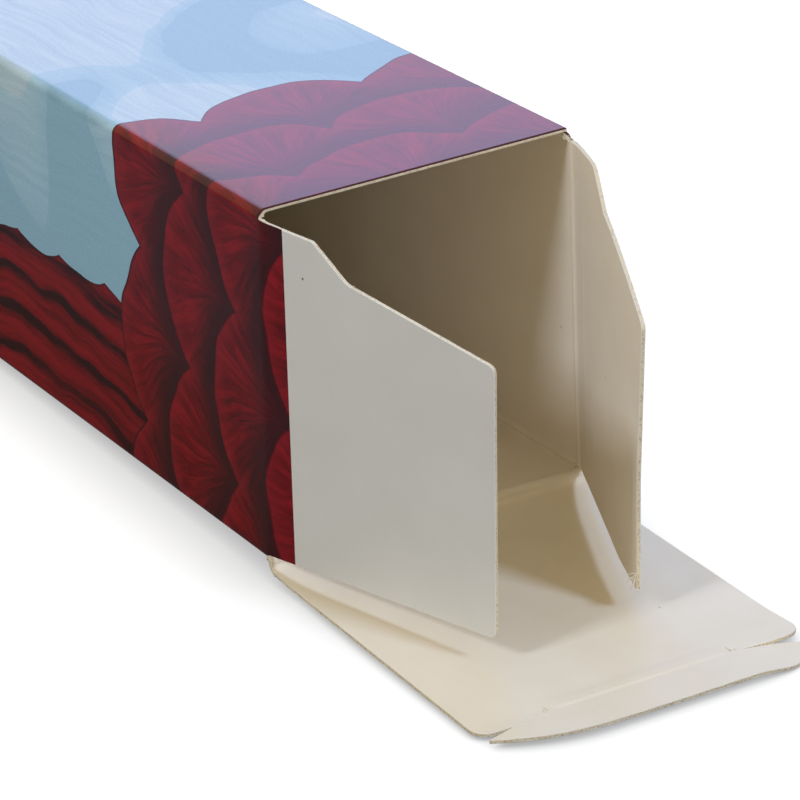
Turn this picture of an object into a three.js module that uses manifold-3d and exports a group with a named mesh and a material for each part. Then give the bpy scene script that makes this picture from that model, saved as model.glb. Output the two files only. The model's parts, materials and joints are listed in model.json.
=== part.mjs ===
// A reverse tuck end carton: a square sleeve folded and glued from one creased sheet of
// coated board. The near end stands open, its lid lying down and its dust flaps spread.
// The far end is shut, with its tab tucked in over the bottom panel.
//
// Millimetres. X runs along the sleeve towards the open end, Y across, Z up.
// The origin is the middle of the sleeve's underside.
import * as THREE from 'three';
import { mergeVertices } from 'three/addons/utils/BufferGeometryUtils.js';
import Module from 'manifold-3d';

const wasm = await Module();
wasm.setup();

// Carton sizes, over the outside of the sleeve
const boxLength = 150;
const boxWidth = 45;
const boxHeight = 45;

// Board and its folds
const board = 0.5;
const foldRadius = 0.95;       // outside of a long crease
const beadRadius = 0.5;        // ridge that the creasing rule leaves inside a long crease
const creaseGap = 0.3;         // between the sleeve and the root of a hinged flap
const swingClearance = 0.12;   // left under a tab's tip as its lid swings out

// Glue seam, under the top panel along its right edge
const glueWidth = 12;
const glueTaper = 3;           // how far the glue flap's ends slope
const glueSetback = 2;         // from the sleeve's ends to the glue flap
const seamInset = 0.8;         // top panel's raw edge, in from the right panel's face

// Lids
const lidInset = 0.4;          // a lid's side edges lie this far inside the sleeve's faces
const earRadius = 2.2;         // rounded corners beside the tuck tab
const slitLength = 9.6;        // slit locks, cut in from the lid's side edges
const slitWidth = 0.3;         // at its inner end, half on each side of the crease's end
const slitPast = 0.4;          // a slit starts this far past the middle of the tab's crease
const earReach = 1.5;          // ears run out past the tab's crease by this much
const tipReach = 2.7;          // and the tab's pointed tips by this much
const tabDepth = 6.2;
const tabEndRadius = 36;       // long curve at each end of the tab's free edge
const tabInset = 0.45;         // tab's tips to the lid's side edges

// Dust flaps
const farWallGap = 11;         // a shut flap stops this far short of the opposite face
const flapBase = 0.9;          // bottom edge, above the lid's hinged face of the sleeve
const shoulderInset = 1.85;    // shoulder below the sleeve's face on the tab's side
const shoulderLength = 7.9;    // shoulder that the slit lock bites on
const shoulderRise = 0.8;      // the open flaps' shoulders climb to the fold by this much
const notchLength = 5;
const notchDepth = 4.8;
const taperDepth = 5;          // drop of the long sloping edge
const flapCorner = 1;
const notchCorner = 2.5;

// How the open end stands, in degrees
const leftSpread = 19;         // dust flaps, inwards from straight out
const rightSpread = 23;
const lidDroop = 1.8;          // lid, down from straight out
const lidKick = 28;            // and as much steeper where it leaves its hinge
const kickRadius = 17;         // of the curve that brings it out nearly level
const tabDroop = 3;            // tab, further down than the lid

// Derived places
const halfWidth = boxWidth / 2;
const nearEnd = boxLength / 2;
const farEnd = -boxLength / 2;
const halfBoard = board / 2;
const hingeReach = creaseGap + halfBoard;   // sleeve's end to a hinge's axis
const rawEdge = halfWidth - seamInset;      // top panel's edge over the glue seam
const flapLength = boxWidth - farWallGap;
const lidHalf = halfWidth - lidInset;
const slitEnd = lidHalf - slitLength;       // half the length of the tab's crease
const swingHeight = boxHeight - board - halfBoard - swingClearance;
const lidLength = Math.sqrt(swingHeight ** 2 - tabDepth ** 2) - halfBoard;

const ARC_STEPS = 7;
const rad = THREE.MathUtils.degToRad;

// The open lid's curve: its fall, its run out from the hinge, and the lid's whole run
const kickFall = kickRadius * (1 - Math.cos(rad(lidKick)));
const kickRun = kickRadius * Math.sin(rad(lidKick));
const openReach = lidLength - kickRadius * rad(lidKick) + kickRun;

// Solids: closed meshes, joined and cut
function toSolid(geometry) {
  const bare = geometry.index ? geometry.toNonIndexed() : geometry.clone();
  bare.deleteAttribute('normal');
  bare.deleteAttribute('uv');
  const merged = mergeVertices(bare, 1e-5);
  return new wasm.Manifold(new wasm.Mesh({
    numProp: 3,
    vertProperties: new Float32Array(merged.attributes.position.array),
    triVerts: new Uint32Array(merged.index.array),
  }));
}

function toGeometry(solid) {
  const mesh = solid.getMesh();
  const indexed = new THREE.BufferGeometry();
  indexed.setAttribute('position', new THREE.BufferAttribute(mesh.vertProperties, 3));
  indexed.setIndex(new THREE.BufferAttribute(mesh.triVerts, 1));
  const geometry = indexed.toNonIndexed();
  geometry.computeVertexNormals();
  return geometry;
}

function prism(shape, depth) {
  return new THREE.ExtrudeGeometry(shape, { depth, bevelEnabled: false, curveSegments: ARC_STEPS });
}

// An outline from corners [x, y, radius], each rounded by a true arc
function roundedOutline(corners) {
  const outline = new THREE.Shape();
  corners.forEach(([x, y, radius = 0], i) => {
    const corner = new THREE.Vector2(x, y);
    const [px, py] = corners.at(i - 1);
    const [nx, ny] = corners[(i + 1) % corners.length];
    const back = new THREE.Vector2(px, py).sub(corner).normalize();
    const ahead = new THREE.Vector2(nx, ny).sub(corner).normalize();
    const half = Math.acos(THREE.MathUtils.clamp(back.dot(ahead), -1, 1)) / 2;
    const reach = radius / Math.tan(half);
    const start = corner.clone().addScaledVector(back, reach);
    if (i === 0) outline.moveTo(start.x, start.y);
    else outline.lineTo(start.x, start.y);
    if (radius === 0) return;
    const middle = back.clone().add(ahead).normalize();
    const centre = corner.clone().addScaledVector(middle, radius / Math.sin(half));
    const end = corner.clone().addScaledVector(ahead, reach);
    const from = start.sub(centre).angle();
    const to = end.sub(centre).angle();
    outline.absarc(centre.x, centre.y, radius, from, to, back.cross(ahead) > 0);
  });
  outline.closePath();
  return outline;
}

// Long section of a flat flap, which has a round root about its hinge at the origin
function flatSection(length) {
  const section = new THREE.Shape();
  section.moveTo(length, -halfBoard);
  section.lineTo(length, halfBoard);
  section.lineTo(0, halfBoard);
  section.absarc(0, 0, halfBoard, Math.PI / 2, Math.PI * 1.5, false);
  section.closePath();
  return section;
}

// Long section of the open lid: it leaves its hinge steeply and curves out level
function kickedSection(length) {
  const kick = rad(lidKick);
  const down = -Math.PI / 2;
  const section = new THREE.Shape();
  section.moveTo(length, -kickFall - halfBoard);
  section.lineTo(length, -kickFall + halfBoard);
  section.absarc(kickRun, kickRadius - kickFall, kickRadius - halfBoard, down, down - kick, true);
  section.absarc(0, 0, halfBoard, -down - kick, -3 * down - kick, false);
  section.absarc(kickRun, kickRadius - kickFall, kickRadius + halfBoard, down - kick, down, false);
  section.closePath();
  return section;
}

// A flap of board in its own frame: the hinge lies along Y through the origin, the flap
// runs out along X, and it is cut to its outline in plan
function flapSolid(section, outline, halfSpan, fall = 0) {
  const slab = prism(section, 2 * halfSpan).rotateX(Math.PI / 2).translate(0, halfSpan, 0);
  const blank = prism(outline, fall + 2 * board).translate(0, 0, -fall - board);
  return toSolid(slab).intersect(toSolid(blank));
}

// Dust flap: level base, then a shoulder, a notch and a long sloping edge on the tab's side
function dustFlapSolid(rise) {
  const shoulder = boxHeight - shoulderInset;
  const notch = shoulder - notchDepth;
  const outline = roundedOutline([
    [-board, flapBase],
    [flapLength, flapBase, flapCorner],
    [flapLength, notch - taperDepth, flapCorner],
    [shoulderLength + notchLength, notch, notchCorner],
    [shoulderLength, shoulder, flapCorner],
    [0, shoulder + rise],
    [-board, shoulder + rise],
  ]);
  return flapSolid(flatSection(flapLength + board), outline, boxHeight);
}

// A slit lock starts at the end of the tab's crease and widens as it slopes outwards: the
// ear follows its inner side, and the tab's edge its outer side up to the pointed tip.
const tipSpan = lidHalf - tabInset;

// Outline of a lid panel with its two ears, whose tab creases at this reach from the hinge
function lidOutline(reach, creaseEdge) {
  const notchHalf = slitEnd + slitWidth / 2;
  return roundedOutline([
    [-board, -lidHalf],
    [reach + earReach, -lidHalf, earRadius],
    [reach + slitPast, -notchHalf],
    [creaseEdge, -notchHalf],
    [creaseEdge, notchHalf],
    [reach + slitPast, notchHalf],
    [reach + earReach, lidHalf, earRadius],
    [-board, lidHalf],
  ]);
}

function openLidSolid() {
  const section = kickedSection(openReach + earReach + board);
  return flapSolid(section, lidOutline(openReach, openReach - hingeReach), halfWidth, kickFall);
}

function shutLidSolid() {
  const section = flatSection(lidLength + earReach + board);
  return flapSolid(section, lidOutline(lidLength, lidLength), halfWidth);
}

// Tuck tab: pointed tips beside the ears, and a free edge with a long curve at each end
function tabSolid() {
  const rootHalf = slitEnd - slitWidth / 2;
  const bulge = tabDepth - tabEndRadius;
  const curveSpan = tipSpan - Math.sqrt(tabEndRadius ** 2 - (tipReach - bulge) ** 2);
  const sweep = Math.atan2(tipSpan - curveSpan, tipReach - bulge);
  const outline = new THREE.Shape();
  outline.moveTo(-board, -rootHalf);
  outline.lineTo(slitPast, -rootHalf);
  outline.lineTo(tipReach, -tipSpan);
  outline.absarc(bulge, -curveSpan, tabEndRadius, -sweep, 0, false);
  outline.absarc(bulge, curveSpan, tabEndRadius, 0, sweep, false);
  outline.lineTo(slitPast, rootHalf);
  outline.lineTo(-board, rootHalf);
  outline.closePath();
  return flapSolid(flatSection(tabDepth + board), outline, halfWidth);
}

// Sleeve section: three round folds, and the top panel's raw edge over the fourth
function sleeveSection() {
  const underTop = boxHeight - board;
  const seam = new THREE.Vector2(halfWidth - foldRadius, underTop - foldRadius);
  const seamArc = Math.acos((rawEdge - seam.x) / foldRadius);
  const section = new THREE.Shape();
  section.moveTo(-halfWidth + foldRadius, 0);
  section.lineTo(halfWidth - foldRadius, 0);
  section.absarc(halfWidth - foldRadius, foldRadius, foldRadius, -Math.PI / 2, 0, false);
  section.lineTo(halfWidth, seam.y);
  section.absarc(seam.x, seam.y, foldRadius, 0, seamArc, false);
  section.lineTo(rawEdge, boxHeight);
  section.lineTo(-halfWidth + foldRadius, boxHeight);
  section.absarc(-halfWidth + foldRadius, boxHeight - foldRadius, foldRadius,
    Math.PI / 2, Math.PI, false);
  section.lineTo(-halfWidth, foldRadius);
  section.absarc(-halfWidth + foldRadius, foldRadius, foldRadius, Math.PI, Math.PI * 1.5, false);

  // Inside, each crease keeps a round bead in its corner
  const inner = new THREE.Path();
  const wall = halfWidth - board;
  inner.moveTo(-wall + beadRadius, board);
  inner.absarc(-wall, board, beadRadius, 0, Math.PI / 2, false);
  inner.absarc(-wall, underTop, beadRadius, -Math.PI / 2, 0, false);
  inner.absarc(wall, underTop, beadRadius, Math.PI, Math.PI * 1.5, false);
  inner.absarc(wall, board, beadRadius, Math.PI / 2, Math.PI, false);
  inner.closePath();
  section.holes.push(inner);
  return section;
}

function glueFlapSolid() {
  const start = farEnd + glueSetback;
  const end = nearEnd - glueSetback;
  const root = rawEdge - halfBoard;
  const edge = halfWidth - board - glueWidth;
  const outline = roundedOutline([
    [start, root],
    [start + glueTaper, edge],
    [end - glueTaper, edge],
    [end, root],
  ]);
  return toSolid(prism(outline, board + halfBoard).translate(0, 0, boxHeight - 2 * board));
}

// A far dust flap is folded shut and stays with the sleeve: its side panel is cut back to
// the crease, and the flap turns the corner there. Side is -1 for left, 1 for right.
function shutFarFlap(sleeve, side, depth) {
  const crease = farEnd + depth + halfBoard;
  const root = boxHeight - flapBase;
  const relief = new THREE.Shape();
  relief.moveTo(farEnd - board, shoulderInset);
  relief.lineTo(crease, shoulderInset);
  relief.lineTo(crease, root);
  relief.lineTo(farEnd - board, root);
  relief.closePath();
  const wallMiddle = side * (halfWidth - halfBoard);
  const cutAway = prism(relief, 2 * board).rotateX(Math.PI / 2).translate(0, wallMiddle + board, 0);
  const flap = toGeometry(dustFlapSolid(0))
    .rotateX(-Math.PI / 2)
    .rotateZ(side * Math.PI / 2 + Math.PI)
    .translate(crease, wallMiddle, boxHeight);
  return sleeve.subtract(toSolid(cutAway)).add(toSolid(flap));
}

function sleeveSolid() {
  const tube = prism(sleeveSection(), boxLength)
    .rotateX(Math.PI / 2)
    .rotateZ(Math.PI / 2)
    .translate(farEnd, 0, 0);
  let sleeve = toSolid(tube).add(glueFlapSolid());
  sleeve = shutFarFlap(sleeve, -1, board + creaseGap);
  return shutFarFlap(sleeve, 1, 0);
}

// Far lid: its tab is folded square into the sleeve, so lid and tab are one stiff angle
function farLidSolid() {
  const foldSpan = 2 * slitEnd - slitWidth;
  const fold = new THREE.CylinderGeometry(halfBoard, halfBoard, foldSpan, 4 * ARC_STEPS);
  const tab = toGeometry(tabSolid()).rotateY(-Math.PI / 2).translate(lidLength, 0, 0);
  return shutLidSolid()
    .add(toSolid(fold.translate(lidLength, 0, 0)))
    .add(toSolid(tab));
}

function boardMesh(name, solid, colour, roughness) {
  const material = new THREE.MeshStandardMaterial({ color: colour, roughness, metalness: 0 });
  const mesh = new THREE.Mesh(toGeometry(solid), material);
  mesh.name = name;
  return mesh;
}

const carton = new THREE.Group();
carton.add(boardMesh('sleeve', sleeveSolid(), '#8c3a4a', 0.32));

// Open dust flaps, standing on upright hinges at the side panels' ends
for (const [name, side, spread] of [
  ['left_dust_flap', -1, leftSpread],
  ['right_dust_flap', 1, rightSpread],
]) {
  const hinge = new THREE.Group();
  hinge.position.set(nearEnd + hingeReach, side * (halfWidth - halfBoard), 0);
  hinge.rotation.z = -side * rad(spread);
  const flap = boardMesh(name, dustFlapSolid(shoulderRise), '#c4c1b8', 0.7);
  flap.rotation.x = Math.PI / 2;
  hinge.add(flap);
  carton.add(hinge);
}

// Open lid on the bottom panel's end, and its tuck tab
const nearHinge = new THREE.Group();
nearHinge.position.set(nearEnd + hingeReach, 0, halfBoard);
nearHinge.rotation.y = rad(lidDroop);
nearHinge.add(boardMesh('near_lid', openLidSolid(), '#d3d1cb', 0.7));
const tabHinge = new THREE.Group();
tabHinge.position.set(openReach, 0, -kickFall);
tabHinge.rotation.y = rad(tabDroop);
tabHinge.add(boardMesh('near_tuck_tab', tabSolid(), '#cfcfd2', 0.7));
nearHinge.add(tabHinge);
carton.add(nearHinge);

// Shut lid, hung from the top panel's far end
const farHinge = new THREE.Group();
farHinge.position.set(farEnd - hingeReach, 0, boxHeight - halfBoard);
farHinge.rotation.y = Math.PI / 2;
farHinge.add(boardMesh('far_lid', farLidSolid(), '#a8485a', 0.32));
carton.add(farHinge);

export default carton;
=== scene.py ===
import json
import math

import bmesh
import bpy
import numpy as np
from mathutils import Euler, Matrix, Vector, noise
from mathutils.geometry import delaunay_2d_cdt


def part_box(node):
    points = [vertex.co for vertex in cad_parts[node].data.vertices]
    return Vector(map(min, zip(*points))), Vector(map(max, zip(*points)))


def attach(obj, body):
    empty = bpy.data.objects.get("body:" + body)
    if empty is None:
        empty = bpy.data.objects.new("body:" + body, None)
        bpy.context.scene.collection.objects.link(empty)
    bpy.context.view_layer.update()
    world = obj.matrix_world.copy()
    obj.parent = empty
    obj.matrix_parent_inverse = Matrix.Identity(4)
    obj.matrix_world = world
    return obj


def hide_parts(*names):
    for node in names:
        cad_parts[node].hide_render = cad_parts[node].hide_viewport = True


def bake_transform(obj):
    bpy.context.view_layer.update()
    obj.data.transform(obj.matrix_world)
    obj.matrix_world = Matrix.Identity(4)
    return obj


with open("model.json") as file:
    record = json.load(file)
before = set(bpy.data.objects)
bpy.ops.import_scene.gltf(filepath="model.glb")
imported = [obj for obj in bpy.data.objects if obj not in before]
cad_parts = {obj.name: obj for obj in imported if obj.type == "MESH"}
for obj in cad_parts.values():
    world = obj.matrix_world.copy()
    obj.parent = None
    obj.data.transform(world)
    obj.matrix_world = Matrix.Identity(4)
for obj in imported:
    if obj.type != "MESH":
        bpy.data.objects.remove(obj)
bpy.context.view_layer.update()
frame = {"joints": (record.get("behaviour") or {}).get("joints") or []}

# A square folding carton of creased and glued board, standing open at its near end.
# Every piece is cut as a flat outline on the blank, given the board's thickness and folded
# into place. Lengths are millimetres until a mesh or a node is made. X runs along the sleeve
# towards the open end, Y across it and Z up, as in the model.
MM = 0.001

# Carton, read from the model
low, high = (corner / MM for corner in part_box("sleeve"))
NEAR, FAR = high.x, low.x
HALF_WIDTH = high.y
HEIGHT = high.z
hinge = {joint["name"]: Vector(joint["pos_m"]) / MM for joint in frame["joints"]}
SIDE = hinge["right_flap_fold"].y
FLOOR_PANEL = hinge["near_lid_fold"].z
TOP_PANEL = hinge["far_lid_fold"].z
HINGE_REACH = hinge["near_lid_fold"].x - NEAR

# Board and its folds
BOARD = 0.5
HALF_BOARD = BOARD / 2
BURR = 0.05              # how far a cut edge is rounded at its faces
MOUTH_BURR = 0.2         # and at the sleeve's printed face
LONG_FOLD = 0.9          # radius of a long fold, at the board's middle
FOLD_START = LONG_FOLD + HALF_BOARD
BEAD = 0.5               # ridge that the creasing rule leaves inside a long fold
BEAD_WIDTH = 0.6
FLAP_BEAD = 0.25         # and inside a flap's crease
FLAP_BEAD_WIDTH = 0.5
TAB_BEAD = 0.17          # and on the tab's crease: gentle towards the lid, steep towards the tab
TAB_BEAD_RISE = (-2, -0.2)
TAB_BEAD_FALL = (0.4, 0.7)
CREASE_HALF = 0.45       # board that bends, on each side of a flap's hinge
SEAM_INSET = 0.8         # top panel's raw edge, in from the right panel's face
GLUE_WIDTH = 12
GLUE_TAPER = 3
GLUE_SETBACK = 2
GLUE_LINE = 0.02

# Lids and tabs
LID_INSET = 0.4
LID_HALF = HALF_WIDTH - LID_INSET
LID_ROOT = HALF_WIDTH - 0.05
ROOT_TAPER = 5
EAR_RADIUS = 2.2
SLIT_LENGTH = 9.6
SLIT_WIDTH = 0.08
SLIT_PAST = 0.5
SLIT_BEND = (1.4, 17.6)  # past the crease and across: here the slit opens into a gap
EAR_REACH = 1.5
TIP_REACH = 2.7
TAB_DEPTH = 6.7
TAB_ENDS = {-1: 24, 1: 7}  # radius of the curve at each end
TAB_INSET = 0.45
SLIT_END = LID_HALF - SLIT_LENGTH
TIP_SPAN = LID_HALF - TAB_INSET

# Dust flaps
FLAP_LENGTH = 34
FLAP_BASE = 0.9
SHOULDER = HEIGHT - 1.85
SHOULDER_LENGTH = 7.9
SHOULDER_RISE = 0.8
NOTCH_LENGTH = 5
NOTCH_DEPTH = 4
TAPER_DEPTH = 4.65
FLAP_CORNER = 1
NOTCH_CORNER = 2.5
RIGHT_ROOT_TOP = HEIGHT - FOLD_START - BOARD
BLEED_TOP = 3.9          # print runs on past the sleeve's end by this much
BLEED_FOOT = 4.7

# How the open end stands, in degrees
LEFT_SPREAD = 19
RIGHT_SPREAD = 23
LEFT_TWIST = (-1, -1)    # turned further inwards at the top and at the foot
RIGHT_TWIST = (-1.2, 1.5)
RIGHT_DROOP = 0.35       # millimetres at the tip
RIGHT_BOW = 0.75         # millimetres outwards, along its top edge
RIGHT_CURL = 0.4         # and at the foot of its tip
CURL_LENGTH = 10
CURL_HEIGHT = 17
LID_DROOP = 1.8
LID_DIP = 73.948        # at the crease, then easing off over the next two lengths
LID_SLOPE = 12
DIP_LENGTH = 1.5
SLOPE_LENGTH = 7
TAB_DROOP = -4
EAR_CURL = 0.4           # millimetres up, at the lid's +Y corner
TAB_CURL = 0.18          # fall of its +Y tip for each millimetre out from the crease
TAB_LIFT = 0.03          # and rise of its -Y end

# Camera, by its place, the way it looks and its lens
CAMERA_PLACE = Vector((389.96, -200.25, 184.66))
CAMERA_AZIMUTH = 57.995
CAMERA_ELEVATION = 24.419
CAMERA_ROLL = -1.113
CAMERA_LENS = 153.41


# Paths: legs of (length, turn in degrees) one after another, each straight or an arc
def follow(start, heading, legs, distances):
    """Points on a path at these distances, and the heading at each in radians."""
    s = np.asarray(distances, float)
    points = np.zeros(s.shape + (2,))
    headings = np.zeros(s.shape)
    here = np.array(start, float)
    angle = math.radians(heading)
    reached = 0.0
    for i, (length, turn) in enumerate(legs):
        inside = np.ones(s.shape, bool)
        if i > 0:
            inside &= s >= reached
        if i < len(legs) - 1:
            inside &= s < reached + length
        t = np.append(s[inside] - reached, length)
        bend = math.radians(turn) / length
        turned = angle + bend * t
        if abs(bend) < 1e-9:
            steps = np.stack([t * math.cos(angle), t * math.sin(angle)], 1)
        else:
            across = (np.sin(turned) - math.sin(angle)) / bend
            up = (math.cos(angle) - np.cos(turned)) / bend
            steps = np.stack([across, up], 1)
        points[inside] = here + steps[:-1]
        headings[inside] = turned[:-1]
        here = here + steps[-1]
        angle = turned[-1]
        reached += length
    return points, headings


def crease_leg(turn):
    """The arc that turns a crease by this angle between tangents CREASE_HALF long."""
    half = math.radians(abs(turn)) / 2
    return (2 * half * CREASE_HALF / math.tan(half), turn)


# Outlines: corners (s, t, radius), each rounded by an arc
def rounded(corners, step=0.3):
    points = []
    for i, corner in enumerate(corners):
        at = np.array(corner[:2], float)
        radius = corner[2] if len(corner) > 2 else 0
        if radius == 0:
            points.append(at)
            continue
        back = np.array(corners[i - 1][:2], float) - at
        ahead = np.array(corners[(i + 1) % len(corners)][:2], float) - at
        back /= np.linalg.norm(back)
        ahead /= np.linalg.norm(ahead)
        half = math.acos(np.clip(back @ ahead, -1, 1)) / 2
        middle = (back + ahead) / np.linalg.norm(back + ahead)
        centre = at + middle * radius / math.sin(half)
        reach = radius / math.tan(half)
        first = at + back * reach - centre
        last = at + ahead * reach - centre
        sweep = math.pi - 2 * half
        if first[0] * last[1] - first[1] * last[0] < 0:
            sweep = -sweep
        begin = math.atan2(first[1], first[0])
        count = max(3, round(abs(sweep) * radius / step))
        for k in range(count + 1):
            a = begin + sweep * k / count
            points.append(centre + radius * np.array([math.cos(a), math.sin(a)]))
    return points


def fine_outline(outline, s_lines, t_lines, step):
    """The outline with points where it crosses the grid's lines, and at most a step apart."""
    points = []
    for a, b in zip(outline, outline[1:] + outline[:1]):
        length = np.linalg.norm(b - a)
        cuts = {round(k / max(1, math.ceil(length / step)), 6) for k in range(math.ceil(length / step))}
        cuts.add(0.0)
        for axis, lines in ((0, s_lines), (1, t_lines)):
            run = b[axis] - a[axis]
            if abs(run) > 1e-6:
                cuts.update(round((line - a[axis]) / run, 6) for line in lines)
        last = -1.0
        for cut in sorted(c for c in cuts if 0 <= c < 1):
            if (cut - last) * length > 0.03 and (1 - cut) * length > 0.03 or cut == 0:
                points.append(a + (b - a) * cut)
                last = cut
    return points


def inside_outline(points, outline, margin):
    """Which points lie inside the outline and at least a margin from it."""
    inside = np.zeros(len(points), bool)
    near = np.full(len(points), np.inf)
    x, y = points[:, 0], points[:, 1]
    for a, b in zip(outline, outline[1:] + outline[:1]):
        crosses = (a[1] > y) != (b[1] > y)
        if crosses.any():
            where = a[0] + (y[crosses] - a[1]) * (b[0] - a[0]) / (b[1] - a[1])
            inside[crosses] ^= x[crosses] < where
        run = b - a
        t = np.clip(((points - a) @ run) / (run @ run), 0, 1)
        near = np.minimum(near, np.hypot(*(points - a - t[:, None] * run).T))
    return inside & (near > margin)


def spread(start, end, step):
    """Evenly spaced lines from start to end, about a step apart."""
    return list(np.linspace(start, end, max(2, math.ceil(abs(end - start) / step) + 1)))


# A sheet of board: a closed solid with a printed face, an inner face and cut edges
def cut_sheet(outline, s_lines, t_lines, place, blank, joined, edge_step=0.4, borders=(),
              bare=lambda s, t: False, burr=BURR):
    """Vertices, faces, finishes by face, and each vertex's place on the blank and in its depth."""
    rim = fine_outline([np.array(p, float) for p in outline], s_lines, t_lines, edge_step)
    grid = np.array([(s, t) for s in s_lines for t in t_lines], float)
    grid = grid[inside_outline(grid, rim, 0.14)]
    flat = [Vector(p) for p in rim] + [Vector(p) for p in grid]
    edges = []
    for a, b in borders:
        edges.append((len(flat), len(flat) + 1))
        flat += [Vector(a), Vector(b)]
    made = delaunay_2d_cdt(flat, edges, [list(range(len(rim)))], 1, 1e-5)
    plan = np.array([tuple(v) for v in made[0]])
    triangles = [tuple(f) for f in made[2]]

    # Rim of the triangles, in order, with its inward direction
    directed = {(t[i], t[(i + 1) % 3]) for t in triangles for i in range(3)}
    following = {a: b for a, b in directed if (b, a) not in directed}
    start = next(iter(sorted(following)))
    loop = [start]
    while following[loop[-1]] != start:
        loop.append(following[loop[-1]])
    edge = plan[loop]
    run = np.roll(edge, -1, 0) - edge
    run /= np.linalg.norm(run, axis=1)[:, None]
    tangent = run + np.roll(run, 1, 0)
    tangent /= np.linalg.norm(tangent, axis=1)[:, None]
    inward = np.stack([-tangent[:, 1], tangent[:, 0]], 1)
    free = np.array([0.0 if joined(s, t) else 1.0 for s, t in edge])

    # The cut edge in rows from the printed face to the inner one
    rows = (
        (HALF_BOARD, burr), (HALF_BOARD - 0.05 - burr / 4, 0), (0.07, 0.02),
        (-0.07, 0), (-0.2, 0.015), (-HALF_BOARD, BURR),
    )
    points, heights = [], []
    ring = []
    for k, (w, inset) in enumerate(rows):
        ragged = np.array([
            0.035 * noise.noise(Vector((s * 1.9, t * 1.9, w * 9))) + 0.02 * noise.noise(Vector((s * 6, t * 6, w * 20)))
            for s, t in edge
        ])
        shifted = edge + inward * ((inset + ragged) * free)[:, None]
        if k in (0, len(rows) - 1):
            face = plan.copy()
            face[loop] = shifted
            ring.append([sum(len(p) for p in points) + i for i in loop])
            points.append(face)
            heights.append(np.full(len(face), w))
        else:
            first = sum(len(p) for p in points)
            ring.append(list(range(first, first + len(loop))))
            points.append(shifted)
            heights.append(np.full(len(shifted), w))
    flat_points = np.concatenate(points)
    depth = np.concatenate(heights)
    back = sum(len(p) for p in points[:-1])
    faces = list(triangles)
    middles = plan[np.array(triangles)].mean(1)
    finish = [3 if bare(s, t) else 0 for s, t in middles]
    faces += [(back + c, back + b, back + a) for a, b, c in triangles]
    finish += [1] * len(triangles)
    for upper, lower in zip(ring, ring[1:]):
        for i in range(len(loop)):
            j = (i + 1) % len(loop)
            faces.append((upper[j], upper[i], lower[i], lower[j]))
            finish.append(2)
    placed = place(flat_points[:, 0], flat_points[:, 1], depth)
    on_blank = np.stack(blank(flat_points[:, 0], flat_points[:, 1]), 1)
    return placed, faces, finish, on_blank, depth / BOARD + 0.5


SHARP_ANGLE = math.radians(32)


def board_piece(name, sheets):
    """One object from sheets, with its place on the blank as a UV map in metres, and its
    depth in the board as an attribute: 0 at the inner face and 1 at the printed one."""
    points, faces, finish, on_blank, plies = [], [], [], [], []
    for placed, sheet_faces, sheet_finish, sheet_blank, sheet_ply in sheets:
        base = sum(len(p) for p in points)
        faces += [tuple(base + i for i in f) for f in sheet_faces]
        finish += sheet_finish
        points.append(placed)
        on_blank.append(sheet_blank)
        plies.append(sheet_ply)
    points = settled(np.concatenate(points)) * MM
    on_blank = np.concatenate(on_blank) * MM
    mesh = bpy.data.meshes.new(name)
    mesh.from_pydata(points.tolist(), [], faces)
    mesh.polygons.foreach_set("material_index", finish)
    corners = np.zeros(len(mesh.loops), np.int32)
    mesh.loops.foreach_get("vertex_index", corners)
    layer = mesh.uv_layers.new(name="blank")
    layer.data.foreach_set("uv", on_blank[corners].ravel().astype(np.float32))
    ply = mesh.attributes.new("ply", "FLOAT", "POINT")
    ply.data.foreach_set("value", np.concatenate(plies).astype(np.float32))
    for material in finishes:
        mesh.materials.append(material)
    shell = bmesh.new()
    shell.from_mesh(mesh)
    bmesh.ops.recalc_face_normals(shell, faces=shell.faces)
    for face in shell.faces:
        face.smooth = True
    for edge in shell.edges:
        at_cut = sum(face.material_index == 2 for face in edge.link_faces) == 1
        edge.smooth = not at_cut and edge.calc_face_angle(0) < SHARP_ANGLE
    shell.to_mesh(mesh)
    shell.free()
    mesh.update()
    piece = bpy.data.objects.new(name, mesh)
    bpy.context.scene.collection.objects.link(piece)
    return piece


# The open end is a little out of square: how far each corner of its mouth leans along X
LEAN = {"left_top": 0.65, "left_foot": -0.1, "right_top": -1.25, "right_foot": 0.9}
LEFT_SAG = 0.2


def settled(points):
    """The carton's slight lean, none at its far end and full at its near one."""
    x, y, z = points.T
    ramp = np.clip((x - FAR) / (NEAR - FAR), 0, 1) ** 2
    right = np.clip((y + HALF_WIDTH) / (2 * HALF_WIDTH), 0, 1)
    up = np.clip(z / HEIGHT, 0, 1)
    top = LEAN["left_top"] * (1 - right) + LEAN["right_top"] * right
    foot = LEAN["left_foot"] * (1 - right) + LEAN["right_foot"] * right
    lean = top * up + foot * (1 - up)
    sag = LEFT_SAG * (1 - right) * up
    return np.stack([x + ramp * lean, y, z - ramp * sag], 1)


def eased(x, start, end):
    """0 at the start and 1 at the end, with a smooth run between."""
    part = np.clip((x - start) / (end - start), 0, 1)
    return part * part * (3 - 2 * part)


def ridge(distance, height, width):
    """A rounded ridge across a crease."""
    return height * np.exp(-((distance / width) ** 2))


def thickened(w, ridge_height):
    """Depth in the board, with the inner face pushed in by a ridge."""
    return w - ridge_height * np.clip(0.5 - w / BOARD, 0, 1)


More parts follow.
